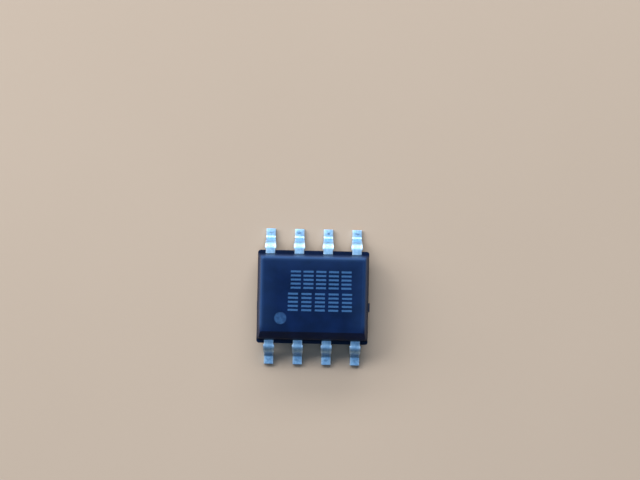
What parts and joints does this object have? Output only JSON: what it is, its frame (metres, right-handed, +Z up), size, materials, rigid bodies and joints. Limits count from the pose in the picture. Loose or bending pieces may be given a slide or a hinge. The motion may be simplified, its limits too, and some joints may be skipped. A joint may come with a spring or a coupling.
{
  "type": "dual mosfet transistor",
  "caption": "Surface-mount dual power transistor: low moulded block with drafted walls, a pin 1 dot and two rows of gull-wing leads that solder to a board.",
  "frame": {"origin": "on the board's surface, under the middle of the body", "axes": "+X along the rows of leads from lead 1 to lead 4, +Y to the row of drain leads 5 to 8, +Z up out of the board"},
  "size_m": [0.005, 0.006, 0.0016],
  "materials": {
    "mould_compound": "fine matte moulded epoxy, navy black",
    "lead_frame": "matte tin plate over copper alloy",
    "solder": "dull solder",
    "silicon": "silicon with aluminium top metal",
    "bond_wire": "bright drawn wire"
  },
  "bodies": {
    "root": {"mould_body": "mould_compound", "drain_frame_1": "lead_frame", "drain_frame_2": "lead_frame", "source_lead_1": "lead_frame", "source_lead_2": "lead_frame", "gate_lead_1": "lead_frame", "gate_lead_2": "lead_frame", "die_attach_1": "solder", "die_attach_2": "solder", "n_channel_die": "silicon", "p_channel_die": "silicon", "source_wire_1_1": "bond_wire", "source_wire_1_2": "bond_wire", "source_wire_1_3": "bond_wire", "source_wire_1_4": "bond_wire", "source_wire_2_1": "bond_wire", "source_wire_2_2": "bond_wire", "source_wire_2_3": "bond_wire", "source_wire_2_4": "bond_wire", "gate_wire_1": "bond_wire", "gate_wire_2": "bond_wire"}
  },
  "joints": []
}
